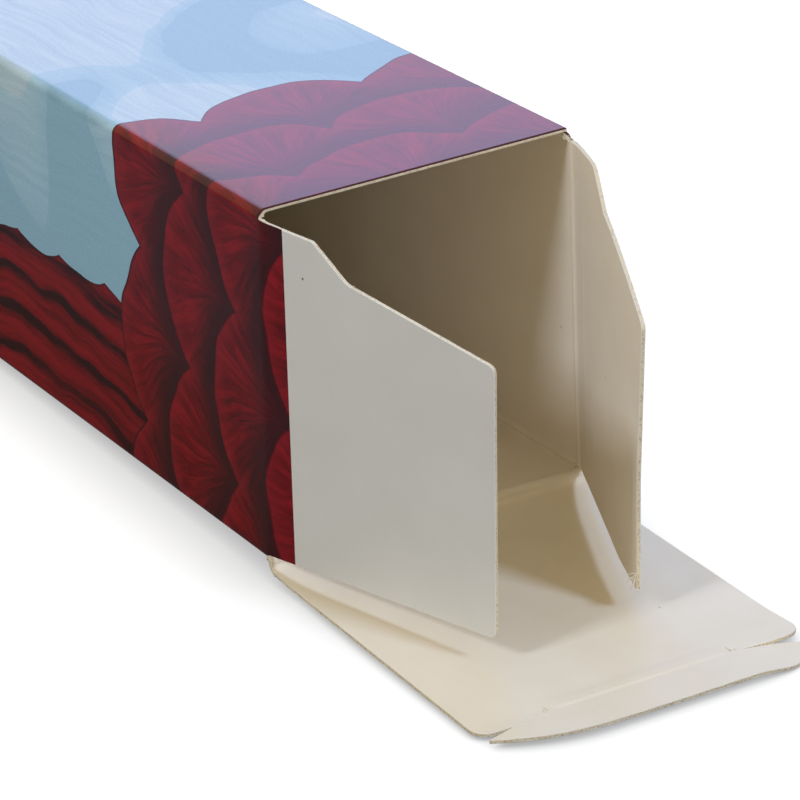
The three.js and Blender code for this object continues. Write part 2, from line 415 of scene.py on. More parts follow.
# Sleeve: the section runs from the top panel's raw edge round to the glue flap
FOLD_RUN = LONG_FOLD * math.pi / 2
RAW_EDGE = HALF_WIDTH - SEAM_INSET
STRAIGHT = HALF_WIDTH - FOLD_START
UPRIGHT = HEIGHT - 2 * FOLD_START
section_legs = [
    (RAW_EDGE + STRAIGHT, 0),
    (FOLD_RUN, 90),
    (UPRIGHT, 0),
    (FOLD_RUN, 90),
    (2 * STRAIGHT, 0),
    (FOLD_RUN, 90),
    (UPRIGHT - BOARD - GLUE_LINE, 0),
    (FOLD_RUN, 90),
    (STRAIGHT - (HALF_WIDTH - BOARD - GLUE_WIDTH), 0),
]
leg_starts = np.concatenate([[0], np.cumsum([length for length, turn in section_legs])])
LEFT_START, FLOOR_START, RIGHT_START = leg_starts[2], leg_starts[4], leg_starts[6]
fold_middles = [leg_starts[i] + FOLD_RUN / 2 for i in (1, 3, 5, 7)]
GLUE_START = leg_starts[8]
SHEET_END = leg_starts[9]


def left_v(z):
    return LEFT_START + (HEIGHT - FOLD_START - z)


def right_v(z):
    return RIGHT_START + (z - FOLD_START)


def floor_v(y):
    return FLOOR_START + STRAIGHT + y


def top_v(y):
    return RAW_EDGE - y


def place_sleeve(u, v, w):
    points, headings = follow((RAW_EDGE, TOP_PANEL), 180, section_legs, v)
    bead = sum(ridge(v - middle, BEAD, BEAD_WIDTH) for middle in fold_middles)
    on_side = eased(v, LEFT_START, LEFT_START + 1) - eased(v, FLOOR_START - FOLD_RUN - 1, FLOOR_START - FOLD_RUN)
    on_side = on_side + eased(v, RIGHT_START, RIGHT_START + 1)
    bead = bead + on_side * ridge(u - NEAR - HINGE_REACH, FLAP_BEAD, FLAP_BEAD_WIDTH)
    depth = thickened(w, bead)
    outward = headings - math.pi / 2
    y = points[:, 0] + depth * np.cos(outward)
    z = points[:, 1] + depth * np.sin(outward)
    return np.stack([u, y, z], 1)


# Far dust flaps are folded shut: the left one lies inside the right one
FAR_CREASE = {-1: FAR + BOARD + 0.3 + HALF_BOARD, 1: FAR + HALF_BOARD}
FAR_JOIN = {side: crease + CREASE_HALF + 0.1 for side, crease in FAR_CREASE.items()}
FAR_FLAP_TOP = HEIGHT - FOLD_START - 0.1
FAR_FLAP_FOOT = HEIGHT - SHOULDER
STUB = 0.3               # slit between a far dust flap's root and the panel's end


def sleeve_outline():
    left_top, left_foot = left_v(FAR_FLAP_TOP), left_v(FAR_FLAP_FOOT)
    right_top, right_foot = right_v(FAR_FLAP_TOP - BOARD), right_v(FAR_FLAP_FOOT)
    return rounded([
        (NEAR, 0),
        (NEAR, GLUE_START - FOLD_RUN),
        (NEAR - 0.6, GLUE_START - 0.2),
        (NEAR - GLUE_SETBACK, GLUE_START + 0.3),
        (NEAR - GLUE_SETBACK - GLUE_TAPER, SHEET_END, 0.8),
        (FAR + GLUE_SETBACK + GLUE_TAPER, SHEET_END, 0.8),
        (FAR + GLUE_SETBACK, GLUE_START + 0.3),
        (FAR + 0.6, GLUE_START - 0.2),
        (FAR, right_top + STUB),
        (FAR_JOIN[1], right_top),
        (FAR_JOIN[1], right_foot),
        (FAR, right_foot - STUB),
        (FAR, left_foot + STUB),
        (FAR_JOIN[-1], left_foot),
        (FAR_JOIN[-1], left_top),
        (FAR, left_top - STUB),
        (FAR, 0),
    ])


def near_join(v):
    """Where the sleeve's near end runs on into a flap or the lid."""
    on_left = left_v(SHOULDER + SHOULDER_RISE) <= v <= left_v(FLAP_BASE)
    on_floor = floor_v(-LID_ROOT) <= v <= floor_v(LID_ROOT)
    on_right = right_v(FLAP_BASE) <= v <= right_v(RIGHT_ROOT_TOP)
    return on_left or on_floor or on_right


def sleeve_joined(u, v):
    if u > NEAR - 0.01:
        return near_join(v)
    if abs(u - FAR) < 0.01:
        return top_v(LID_ROOT) <= v <= top_v(-LID_ROOT)
    for side, top, foot in (
        (-1, left_v(FAR_FLAP_TOP), left_v(FAR_FLAP_FOOT)),
        (1, right_v(FAR_FLAP_TOP - BOARD), right_v(FAR_FLAP_FOOT)),
    ):
        if abs(u - FAR_JOIN[side]) < 0.01 and min(top, foot) <= v <= max(top, foot):
            return True
    return False


def sleeve_sheet():
    t_lines = []
    for i, (length, turn) in enumerate(section_legs):
        start, end = leg_starts[i], leg_starts[i + 1]
        if turn:
            t_lines += spread(start - 0.8, end + 0.8, 0.12)
        else:
            t_lines += spread(start + 1.1, end - 1.1, 3)
    s_lines = spread(FAR, NEAR - 1.5, 3) + spread(NEAR - 0.8, NEAR, 0.2)
    return cut_sheet(
        sleeve_outline(), s_lines, sorted(t_lines), place_sleeve, lambda u, v: (u, v), sleeve_joined,
        burr=MOUTH_BURR,
    )


# Dust flap outline, by its run from the hinge and its height
def flap_outline(root, root_top, droop):
    notch = SHOULDER - NOTCH_DEPTH
    return rounded([
        (root, FLAP_BASE),
        (FLAP_LENGTH, FLAP_BASE, FLAP_CORNER),
        (FLAP_LENGTH, notch - TAPER_DEPTH - droop, FLAP_CORNER),
        (SHOULDER_LENGTH + NOTCH_LENGTH, notch, NOTCH_CORNER),
        (SHOULDER_LENGTH, SHOULDER, FLAP_CORNER),
        (root, root_top),
    ])


def near_path(sign, turn):
    """Path in plan from the sleeve's near end, through the crease and out along a flap."""
    straight = HINGE_REACH - CREASE_HALF
    return (NEAR, sign * SIDE), 0, [(straight, 0), crease_leg(-sign * turn), (FLAP_LENGTH + 5, 0)]


def flap_placer(sign, turn, twist, droop, bow, curl):
    """Places a near dust flap, which is twisted, sags at its tip, bows outwards at its top and
    curls outwards at its tip's foot."""
    start, heading, legs = near_path(sign, turn)
    middle = legs[0][0] + legs[1][0] / 2
    pivot = follow(start, heading, legs, [middle])[0][0]

    def place(s, t, w):
        points, headings = follow(start, heading, legs, s)
        depth = thickened(w, ridge(s - middle, FLAP_BEAD, FLAP_BEAD_WIDTH))
        run = np.clip(s - middle, 0, None)
        out = depth + bow * t / HEIGHT * np.sin(math.pi * np.clip(run / FLAP_LENGTH, 0, 1) ** 0.7)
        out = out + curl * eased(run, FLAP_LENGTH - CURL_LENGTH, FLAP_LENGTH) * eased(t, CURL_HEIGHT, 0)
        outward = headings + sign * math.pi / 2
        x = points[:, 0] + out * np.cos(outward) - pivot[0]
        y = points[:, 1] + out * np.sin(outward) - pivot[1]
        extra = np.radians(twist[0] + (twist[1] - twist[0]) * (1 - t / HEIGHT)) * np.clip(run / 3, 0, 1)
        turned = -sign * extra
        return np.stack([
            pivot[0] + x * np.cos(turned) - y * np.sin(turned),
            pivot[1] + x * np.sin(turned) + y * np.cos(turned),
            t - droop * (run / FLAP_LENGTH) ** 2,
        ], 1)

    return place


def near_flap_sheets(sign, turn, root_top, twist, droop=0, bow=0, curl=0):
    """The crease of a near dust flap, and the flap itself."""
    place = flap_placer(sign, turn, twist, droop, bow, curl)
    to_v = left_v if sign < 0 else right_v

    def blank(s, t):
        return NEAR + s, to_v(t)

    root = HINGE_REACH * 2
    rise = root_top - (root_top - SHOULDER) * root / SHOULDER_LENGTH
    crease = [(0, FLAP_BASE), (root, FLAP_BASE), (root, rise), (0, root_top)]
    strip = cut_sheet(
        [np.array(p) for p in crease], spread(0, root, 0.09), spread(FLAP_BASE, root_top, 0.5),
        place, blank, lambda s, t: s < 0.01 or s > root - 0.01,
    )
    outline = [p + np.array([HINGE_REACH, 0]) for p in flap_outline(root - HINGE_REACH, rise, droop)]
    leaf = cut_sheet(
        outline, spread(root, root + 0.8, 0.2) + spread(root + 1.8, FLAP_LENGTH + HINGE_REACH, 1.5),
        spread(FLAP_BASE, SHOULDER, 1),
        place, blank, lambda s, t: s < root + 0.01, borders=[((BLEED_FOOT, 0), (BLEED_TOP, HEIGHT))],
        bare=lambda s, t: s > BLEED_FOOT + (BLEED_TOP - BLEED_FOOT) * t / HEIGHT,
    )
    return strip, leaf


# Lid: its long section falls away from the hinge and curves out nearly level
def lid_path():
    straight = HINGE_REACH - CREASE_HALF
    start = (NEAR, FLOOR_PANEL)
    legs = [
        (straight, 0),
        crease_leg(-LID_DIP),
        (DIP_LENGTH, LID_DIP - LID_SLOPE),
        (SLOPE_LENGTH, LID_SLOPE - LID_DROOP),
    ]
    ends, headings = follow(start, 0, legs, [sum(length for length, turn in legs)])
    crease = hinge["near_tab_fold"]
    rest = math.dist(ends[0], (crease.x, crease.z)) - CREASE_HALF
    legs += [(rest, 0), crease_leg(-TAB_DROOP), (TAB_DEPTH + 2, 0)]
    return start, legs


lid_start, lid_legs = lid_path()
lid_ends = np.concatenate([[0], np.cumsum([length for length, turn in lid_legs])])
LID_FOLD = lid_ends[1] + lid_legs[1][0] / 2
TAB_FOLD = lid_ends[5] + lid_legs[5][0] / 2
LID_JOIN = lid_ends[3] + 0.1
TAB_JOIN = (lid_ends[5] - 0.1, lid_ends[6] + 0.1)


def place_lid(s, t, w):
    points, headings = follow(lid_start, 0, lid_legs, s)
    bead = ridge(s - LID_FOLD, FLAP_BEAD, FLAP_BEAD_WIDTH)
    past = s - TAB_FOLD
    strip = eased(past, *TAB_BEAD_RISE) * (1 - eased(past, *TAB_BEAD_FALL))
    bead = bead + TAB_BEAD * strip * eased(np.abs(t), SLIT_END, SLIT_END - 2.2)
    depth = thickened(w, bead)
    outward = headings - math.pi / 2
    x = points[:, 0] + depth * np.cos(outward)
    z = points[:, 1] + depth * np.sin(outward)
    return np.stack([x, t, z], 1)


def place_panel(s, t, w):
    """Places the near lid, one ear of which is curled up."""
    points = place_lid(s, t, w)
    points[:, 2] += EAR_CURL * eased(t, SLIT_END - 1, LID_HALF) * eased(s - TAB_FOLD, -7, EAR_REACH)
    return points


def place_tab(s, t, w):
    """Places the near tab, one end of which curls down."""
    points = place_lid(s, t, w)
    run = np.clip(s - TAB_FOLD - CREASE_HALF, 0, None)
    points[:, 2] += run * (TAB_LIFT * eased(t, 0, -14) - TAB_CURL * eased(t, 11, TIP_SPAN))
    return points


def lid_blank(s, t):
    return NEAR + s, floor_v(t)


def lid_outline(root, crease, crease_edge):
    """A lid panel with an ear on each side of the tab's crease."""
    notch = SLIT_END + SLIT_WIDTH / 2
    reach, across = SLIT_BEND
    corners = [
        (root, -LID_ROOT),
        (root + ROOT_TAPER, -LID_HALF),
        (crease + EAR_REACH, -LID_HALF, EAR_RADIUS),
        (crease + reach, -across, 2),
        (crease + SLIT_PAST, -notch),
        (crease_edge, -notch),
        (crease_edge, notch),
        (crease + SLIT_PAST, notch),
        (crease + reach, across, 2),
        (crease + EAR_REACH, LID_HALF, EAR_RADIUS),
        (root + ROOT_TAPER, LID_HALF),
        (root, LID_ROOT),
    ]
    return rounded(corners)


def tab_outline(crease, crease_edge):
    """A tab with pointed tips beside the ears, and a long curve at each end."""
    root = SLIT_END - SLIT_WIDTH / 2
    reach, across = SLIT_BEND
    points = [(crease_edge, -root), (crease + SLIT_PAST, -root), (crease + reach + SLIT_WIDTH, -across)]
    for side, radius in TAB_ENDS.items():
        bulge = TAB_DEPTH - radius
        curve_span = TIP_SPAN - math.sqrt(radius ** 2 - (TIP_REACH - bulge) ** 2)
        sweep = math.atan2(TIP_SPAN - curve_span, TIP_REACH - bulge)
        for k in range(11):
            a = sweep * (k / 10 - (side < 0))
            points.append((crease + bulge + radius * math.cos(a), side * curve_span + radius * math.sin(a)))
    points += [(crease + reach + SLIT_WIDTH, across), (crease + SLIT_PAST, root), (crease_edge, root)]
    return [np.array(p) for p in points]


def crease_strip(first, last, half_span, place, blank):
    corners = [(first, -half_span), (last, -half_span), (last, half_span), (first, half_span)]
    return cut_sheet(
        [np.array(p) for p in corners], spread(first, last, 0.09), spread(-half_span, half_span, 0.5),
        place, blank, lambda s, t: s < first + 0.01 or s > last - 0.01,
    )


def near_lid_sheets():
    across = spread(-LID_HALF, LID_HALF, 0.5)
    root = crease_strip(0, LID_JOIN, LID_ROOT, place_lid, lid_blank)
    panel_lines = spread(LID_JOIN, 10, 0.6)
    panel_lines += spread(11.5, TAB_JOIN[0] - 1.5, 2) + spread(TAB_JOIN[0] - 1, TAB_FOLD + EAR_REACH, 0.2)
    panel = cut_sheet(
        lid_outline(LID_JOIN, TAB_FOLD, TAB_JOIN[0]), panel_lines, across, place_panel, lid_blank,
        lambda s, t: s < LID_JOIN + 0.01 or (abs(s - TAB_JOIN[0]) < 0.01 and abs(t) < SLIT_END - SLIT_WIDTH / 2),
    )
    fold = crease_strip(TAB_JOIN[0], TAB_JOIN[1], SLIT_END - SLIT_WIDTH / 2, place_tab, lid_blank)
    tab_lines = spread(TAB_JOIN[1], TAB_JOIN[1] + 1, 0.2) + spread(TAB_JOIN[1] + 2, TAB_FOLD + TAB_DEPTH, 1.2)
    tab = cut_sheet(
        tab_outline(TAB_FOLD, TAB_JOIN[1]), tab_lines, across,
        place_tab, lid_blank, lambda s, t: s < TAB_JOIN[1] + 0.01,
    )
    return root, panel, fold, tab


# Far lid: square down from the top panel, with its tab square into the sleeve
far_start = (FAR, TOP_PANEL)
FAR_LID_RUN = TOP_PANEL - (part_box("far_lid")[0].z / MM + EAR_REACH)
far_legs = [
    (HINGE_REACH - CREASE_HALF, 0),
    crease_leg(90),
    (FAR_LID_RUN - 2 * CREASE_HALF + HALF_BOARD, 0),
    crease_leg(90),
    (TAB_DEPTH + 2, 0),
]
far_ends = np.concatenate([[0], np.cumsum([length for length, turn in far_legs])])
FAR_FOLD = far_ends[1] + far_legs[1][0] / 2
FAR_TAB_FOLD = far_ends[3] + far_legs[3][0] / 2
FAR_LID_JOIN = far_ends[2] + 0.1
FAR_TAB_JOIN = (far_ends[3] - 0.1, far_ends[4] + 0.1)


def place_far_lid(s, t, w):
    points, headings = follow(far_start, 180, far_legs, s)
    bead = ridge(s - FAR_FOLD, FLAP_BEAD, FLAP_BEAD_WIDTH)
    depth = thickened(w, bead)
    outward = headings - math.pi / 2
    x = points[:, 0] + depth * np.cos(outward)
    z = points[:, 1] + depth * np.sin(outward)
    return np.stack([x, t, z], 1)


def place_far_ears(s, t, w):
    """Ears run straight on past the tab's crease."""
    legs = far_legs[:2] + [(FAR_LID_RUN + 10, 0)]
    points, headings = follow(far_start, 180, legs, s)
    outward = headings - math.pi / 2
    x = points[:, 0] + w * np.cos(outward)
    z = points[:, 1] + w * np.sin(outward)
    return np.stack([x, t, z], 1)


def far_blank(s, t):
    return FAR - s, top_v(t)


def far_lid_sheets():
    across = spread(-LID_HALF, LID_HALF, 2)
    root = crease_strip(0, FAR_LID_JOIN, LID_ROOT, place_far_lid, far_blank)
    panel = cut_sheet(
        lid_outline(FAR_LID_JOIN, FAR_TAB_FOLD, FAR_TAB_JOIN[0]),
        spread(FAR_LID_JOIN, FAR_TAB_FOLD + EAR_REACH, 2), across, place_far_ears, far_blank,
        lambda s, t: s < FAR_LID_JOIN + 0.01
        or (abs(s - FAR_TAB_JOIN[0]) < 0.01 and abs(t) < SLIT_END - SLIT_WIDTH / 2),
    )
    fold = crease_strip(
        FAR_TAB_JOIN[0], FAR_TAB_JOIN[1], SLIT_END - SLIT_WIDTH / 2, place_far_lid, far_blank,
    )
    tab = cut_sheet(
        tab_outline(FAR_TAB_FOLD, FAR_TAB_JOIN[1]),
        spread(FAR_TAB_JOIN[1], FAR_TAB_FOLD + TAB_DEPTH, 1.2), across, place_far_lid, far_blank,
        lambda s, t: s < FAR_TAB_JOIN[1] + 0.01,
    )
    return root, panel, fold, tab


def far_flap_sheet(sign):
    """A far dust flap with its crease, upside down to the near ones and folded square."""
    join = FAR_JOIN[sign]
    start = (join, sign * SIDE)
    legs = [(0.1, 0), crease_leg(sign * 90), (FLAP_LENGTH + 5, 0)]
    crease = legs[0][0] + legs[1][0] / 2
    root_top = FAR_FLAP_TOP - (BOARD if sign > 0 else 0)
    to_v = left_v if sign < 0 else right_v

    def place(s, t, w):
        points, headings = follow(start, 180, legs, s)
        depth = thickened(w, ridge(s - crease, FLAP_BEAD, FLAP_BEAD_WIDTH))
        outward = headings - sign * math.pi / 2
        x = points[:, 0] + depth * np.cos(outward)
        y = points[:, 1] + depth * np.sin(outward)
        return np.stack([x, y, t], 1)

    notch = HEIGHT - SHOULDER + NOTCH_DEPTH
    outline = rounded([
        (0, HEIGHT - SHOULDER),
        (crease + SHOULDER_LENGTH, HEIGHT - SHOULDER, FLAP_CORNER),
        (crease + SHOULDER_LENGTH + NOTCH_LENGTH, notch, NOTCH_CORNER),
        (crease + FLAP_LENGTH, notch + TAPER_DEPTH, FLAP_CORNER),
        (crease + FLAP_LENGTH, root_top, FLAP_CORNER),
        (0, root_top),
    ])
    s_lines = spread(0, 1.4, 0.09) + spread(2.5, crease + FLAP_LENGTH, 2)
    return cut_sheet(
        outline, s_lines, spread(HEIGHT - SHOULDER, root_top, 0.5), place,
        lambda s, t: (join - s, to_v(t)), lambda s, t: s < 0.01,
    )


# Nodes and colours
def add(tree, kind, inputs=(), output=0, **settings):
    """Adds a node with its settings, and values or links by input; gives an output."""
    node = tree.nodes.new(kind if "Node" in kind else "ShaderNode" + kind)
    for name, value in settings.items():
        setattr(node, name, value)
    pairs = inputs.items() if isinstance(inputs, dict) else enumerate(inputs)
    for socket, value in pairs:
        if isinstance(value, bpy.types.NodeSocket):
            tree.links.new(value, node.inputs[socket])
        else:
            node.inputs[socket].default_value = value
    return node.outputs[output] if node.outputs else None


def linear(hex_colour):
    """sRGB hex to linear RGBA."""
    parts = [int(hex_colour[i:i + 2], 16) / 255 for i in (1, 3, 5)]
    return tuple(p / 12.92 if p <= 0.04045 else ((p + 0.055) / 1.055) ** 2.4 for p in parts) + (1,)


def new_material(name):
    material = bpy.data.materials.new(name)
    material.use_nodes = True
    material.node_tree.nodes.clear()
    return material


def blank_place(tree):
    """Place on the flat blank in millimetres: along the sleeve, and round its section."""
    metres = add(tree, "UVMap", uv_map="blank")
    return add(tree, "VectorMath", (metres, (1000, 1000, 0)), operation="MULTIPLY")


# Discs that overlap in rows like roof tiles, the front rows over the rear ones
SCALE_PITCH = 23
SCALE_RADIUS = 15
SCALE_ROWS = 11.5
SCALE_REAR = 55.5        # middles of the rearmost row


def scale_discs(tree, u, v):
    """How far out in its disc a point lies, its angle there, the cast shade and the cover."""
    reach = add(tree, "Math", (u, SCALE_RADIUS - SCALE_REAR), operation="ADD")
    newest = add(tree, "Math", (add(tree, "Math", (reach, SCALE_ROWS), operation="DIVIDE"),), operation="FLOOR")
    found = shade = out = angle = row_mark = 0.0
    for behind in (-1, 0, 1, 2):
        row = add(tree, "Math", (newest, behind), operation="SUBTRACT")
        odd = add(tree, "Math", (row, 2), operation="FLOORED_MODULO")
        shift = add(tree, "Math", (odd, SCALE_PITCH / 2), operation="MULTIPLY")
        across = add(tree, "Math", (v, shift), operation="SUBTRACT")
        nearest = add(tree, "Math", (across, SCALE_PITCH), operation="DIVIDE")
        nearest = add(tree, "Math", (nearest,), operation="ROUND")
        dv = add(tree, "Math", (nearest, -SCALE_PITCH, across), operation="MULTIPLY_ADD")
        middle = add(tree, "Math", (row, SCALE_ROWS, SCALE_REAR), operation="MULTIPLY_ADD")
        du = add(tree, "Math", (u, middle), operation="SUBTRACT")
        offset = add(tree, "CombineXYZ", (du, dv))
        distance = add(tree, "VectorMath", (offset,), 1, operation="LENGTH")
        real = add(tree, "Math", (row, -0.5), operation="GREATER_THAN")
        covered = add(tree, "Math", (distance, SCALE_RADIUS), operation="LESS_THAN")
        covered = add(tree, "Math", (covered, real), operation="MULTIPLY")
        free = add(tree, "Math", (1.0, found), operation="SUBTRACT")
        picked = add(tree, "Math", (covered, free), operation="MULTIPLY")
        gap = add(tree, "MapRange", {0: distance, 1: SCALE_RADIUS, 2: SCALE_RADIUS + 8, 3: 1.0, 4: 0.0})
        cast = add(tree, "Math", (gap, add(tree, "Math", (free, real), operation="MULTIPLY")), operation="MULTIPLY")
        cast = add(tree, "Math", (cast, add(tree, "Math", (1.0, covered), operation="SUBTRACT")), operation="MULTIPLY")
        shade = add(tree, "Math", (shade, cast), operation="MAXIMUM")
        out = add(tree, "Math", (picked, distance, out), operation="MULTIPLY_ADD")
        turn = add(tree, "Math", (dv, du), operation="ARCTAN2")
        angle = add(tree, "Math", (picked, turn, angle), operation="MULTIPLY_ADD")
        mark = add(tree, "Math", (row, 7.3, nearest), operation="MULTIPLY_ADD")
        row_mark = add(tree, "Math", (picked, mark, row_mark), operation="MULTIPLY_ADD")
        found = add(tree, "Math", (found, covered), operation="MAXIMUM")
    return out, angle, row_mark, shade, found


def crimson_scales(tree, u, v):
    """Crimson discs with brushed streaks, a pale band inside the rim and a dark line on it."""
    out, angle, mark, shade, found = scale_discs(tree, u, v)
    brush_place = add(tree, "CombineXYZ", (
        add(tree, "Math", (angle, 5.0), operation="MULTIPLY"),
        add(tree, "Math", (out, 0.06), operation="MULTIPLY"),
        mark,
    ))
    brush = add(tree, "TexNoise", {"Vector": brush_place, "Scale": 2.2, "Detail": 3, "Roughness": 0.6})
    ground = add(tree, "ValToRGB", {0: brush})
    ramp = ground.node.color_ramp
    ramp.elements[0].position = 0.34
    ramp.elements[0].color = linear("#640d13")
    ramp.elements[1].position = 0.66
    ramp.elements[1].color = linear("#96171f")
    ramp.elements.new(0.5).color = linear("#7c1018")
    pen = add(tree, "TexNoise", {"Vector": brush_place, "Scale": 1.3, "Detail": 1, "Distortion": 0.4})
    pen = add(tree, "MapRange", {
        0: add(tree, "Math", (add(tree, "Math", (pen, 0.47), operation="SUBTRACT"),), operation="ABSOLUTE"),
        1: 0.0, 2: 0.008, 3: 0.6, 4: 0.0,
    })
    inked = add(tree, "Mix", {0: pen, 6: ground, 7: linear("#3a1216")}, 2, data_type="RGBA")
    band = add(tree, "MapRange", {0: out, 1: SCALE_RADIUS * 0.8, 2: SCALE_RADIUS * 0.95, 3: 0.0, 4: 0.35})
    lit = add(tree, "Mix", {0: band, 6: inked, 7: linear("#a3242e")}, 2, data_type="RGBA")
    dark = add(tree, "MapRange", {0: shade, 1: 0.1, 2: 1.0, 3: 0.0, 4: 0.88}, interpolation_type="SMOOTHSTEP")
    shaded = add(tree, "Mix", {0: dark, 6: lit, 7: linear("#32191b")}, 2, data_type="RGBA")
    line = add(tree, "MapRange", {
        0: out, 1: SCALE_RADIUS - 0.45, 2: SCALE_RADIUS - 0.2, 3: 0.0, 4: 0.8,
    })
    return add(tree, "Mix", {0: line, 6: shaded, 7: linear("#2e1013")}, 2, data_type="RGBA"), found


def sky_colour(tree, mm):
    """Light blue with paler overlapping sweeps and fine brush marks."""
    sweep = add(tree, "TexNoise", {"Vector": mm, "Scale": 0.021, "Detail": 0.5, "Distortion": 0.6}, noise_dimensions="2D")
    tone = add(tree, "ValToRGB", {0: sweep})
    ramp = tone.node.color_ramp
    ramp.elements[0].position = 0.44
    ramp.elements[0].color = linear("#96bed4")
    ramp.elements[1].position = 0.445
    ramp.elements[1].color = linear("#a3c8dc")
    ramp.elements.new(0.53).color = linear("#b2d2e1")
    ramp.elements.new(0.535).color = linear("#c6dbe4")
    stretched = add(tree, "VectorMath", (mm, (0.05, 0.9, 0)), operation="MULTIPLY")
    marks = add(tree, "TexNoise", {"Vector": stretched, "Scale": 1.0, "Detail": 4}, noise_dimensions="2D")
    marks = add(tree, "MapRange", {0: marks, 1: 0.35, 2: 0.75, 3: 0.0, 4: 0.4})
    return add(tree, "Mix", {0: marks, 6: tone, 7: linear("#8db6cd")}, 2, data_type="RGBA")


# Pleated crimson hanging, printed low on the side panels behind the discs
PLEAT_TOP = 65.5
PLEAT_FOOT = 153.5
PLEAT_STEP = 5.4


def pleats(tree, u, v, mm):
    """Long crimson folds with dark valleys, and where they are."""
    wave = add(tree, "Math", (add(tree, "Math", (u, 0.09), operation="MULTIPLY"),), operation="SINE")
    bent = add(tree, "Math", (wave, 1.3, v), operation="MULTIPLY_ADD")
    along = add(tree, "CombineXYZ", (
        add(tree, "Math", (u, 0.022), operation="MULTIPLY"),
        add(tree, "Math", (bent, 0.42), operation="MULTIPLY"),
    ))
    thread = add(tree, "TexNoise", {"Vector": along, "Scale": 1.6, "Detail": 5, "Roughness": 0.62}, noise_dimensions="2D")
    fold = add(tree, "Math", (bent, 2 * math.pi / PLEAT_STEP), operation="MULTIPLY")
    fold = add(tree, "Math", (add(tree, "Math", (fold,), operation="SINE"), 0.16, thread), operation="MULTIPLY_ADD")
    tone = add(tree, "ValToRGB", {0: fold})
    ramp = tone.node.color_ramp
    ramp.elements[0].position = 0.3
    ramp.elements[0].color = linear("#341012")
    ramp.elements[1].position = 0.72
    ramp.elements[1].color = linear("#93171f")
    ramp.elements.new(0.47).color = linear("#701017")
    hem = add(tree, "Math", (add(tree, "Math", (u, 0.26), operation="MULTIPLY"),), operation="SINE")
    top = add(tree, "Math", (add(tree, "Math", (hem,), operation="ABSOLUTE"), 1.6, PLEAT_TOP), operation="MULTIPLY_ADD")
    below = add(tree, "Math", (v, top), operation="GREATER_THAN")
    above = add(tree, "Math", (v, PLEAT_FOOT), operation="LESS_THAN")
    depth = add(tree, "Math", (v, top), operation="SUBTRACT")
    shade = add(tree, "MapRange", {0: depth, 1: 0.0, 2: 0.5, 3: 0.7, 4: 0.0})
    tone = add(tree, "Mix", {0: shade, 6: tone, 7: linear("#32171a")}, 2, data_type="RGBA")
    return tone, add(tree, "Math", (below, above), operation="MULTIPLY")


SCUFFS = ((68.5, 38, 1.6), (63, 40, 1.1), (72.5, 41.6, 0.8))   # middle on the blank, and radius


def scuffs(tree, place):
    """Where short scratches have broken the film, in a few rubbed patches."""
    turned = add(tree, "VectorRotate", {"Vector": place, "Angle": 0.5}, rotation_type="Z_AXIS")
    drawn = add(tree, "VectorMath", (turned, (0.55, 3.4, 1)), operation="MULTIPLY")
    scratch = add(tree, "TexNoise", {"Vector": drawn, "Scale": 1.3, "Detail": 3}, noise_dimensions="2D")
    scratch = add(tree, "MapRange", {0: scratch, 1: 0.56, 2: 0.62, 3: 0.0, 4: 1.0})
    patches = 0.0
    for u, v, radius in SCUFFS:
        away = add(tree, "VectorMath", (place, (u, v, 0)), 1, operation="DISTANCE")
        near = add(tree, "MapRange", {0: away, 1: radius * 0.5, 2: radius, 3: 1.0, 4: 0.0})
        patches = add(tree, "Math", (patches, near), operation="MAXIMUM")
    return add(tree, "Math", (scratch, patches), operation="MULTIPLY")


def film_print():
    """Offset print under a gloss film. The film gives a soft, slightly bluish sheen at a low
    angle and a crisp bright line on each fold."""
    material = new_material("film_laminated_offset_print")
    tree = material.node_tree
    place = blank_place(tree)
    hand = add(tree, "TexNoise", {"Vector": place, "Scale": 0.09, "Detail": 1}, 1, noise_dimensions="2D")
    waver = add(tree, "VectorMath", (hand, (0.5, 0.5, 0.5)), operation="SUBTRACT")
    mm = add(tree, "VectorMath", (waver, (3.0, 3.0, 0), place), operation="MULTIPLY_ADD")
    u = add(tree, "SeparateXYZ", (mm,))
    v = u.node.outputs[1]
    scales, scale_cover = crimson_scales(tree, u, v)
    hanging, hanging_cover = pleats(tree, u, v, mm)
    # Painted light: the sky is 20% lighter on every panel but the top, to make up for the stronger light that falls on
    # the top.
    side = add(tree, "MapRange", {0: v, 1: LEFT_START - 1, 2: LEFT_START, 3: 1.0, 4: 1.2})
    sky = add(tree, "VectorMath", {"Vector": sky_colour(tree, mm), "Scale": side}, operation="SCALE")
    ground = add(tree, "Mix", {0: hanging_cover, 6: sky, 7: hanging}, 2, data_type="RGBA")
    # On the top panel the discs are mixed towards purple: partly the print's own hue, partly a painted bluish sheen for
    # the light that the top catches.
    top_hue_and_sheen = add(tree, "MapRange", {0: v, 1: LEFT_START - 7, 2: LEFT_START, 3: 0.22, 4: 0.0})
    scales = add(tree, "Mix", {0: top_hue_and_sheen, 6: scales, 7: linear("#a03c94")}, 2, data_type="RGBA")
    colour = add(tree, "Mix", {0: scale_cover, 6: ground, 7: scales}, 2, data_type="RGBA")
    ink = add(tree, "TexNoise", {"Vector": place, "Scale": 3.2, "Detail": 2}, noise_dimensions="2D")
    mottle = add(tree, "MapRange", {0: ink, 1: 0.3, 2: 0.7, 3: 0.93, 4: 1.05})
    colour = add(tree, "VectorMath", {"Vector": colour, "Scale": mottle}, operation="SCALE")
    rubbed = add(tree, "Math", (scuffs(tree, place), 0.7), operation="MULTIPLY")
    colour = add(tree, "Mix", {0: rubbed, 6: colour, 7: linear("#3c141c")}, 2, data_type="RGBA")
    peel = add(tree, "TexNoise", {"Vector": place, "Scale": 1.4, "Detail": 2}, noise_dimensions="2D")
    bump = add(tree, "Bump", {"Height": peel, "Strength": 0.35, "Distance": 0.00003})
    surface = add(tree, "BsdfPrincipled", {
        "Base Color": colour, "Roughness": 0.5, "Specular IOR Level": 0.0,
        "Coat Weight": 1.0, "Coat Roughness": 0.17, "Coat Normal": bump,
    })
    add(tree, "OutputMaterial", {"Surface": surface})
    return material


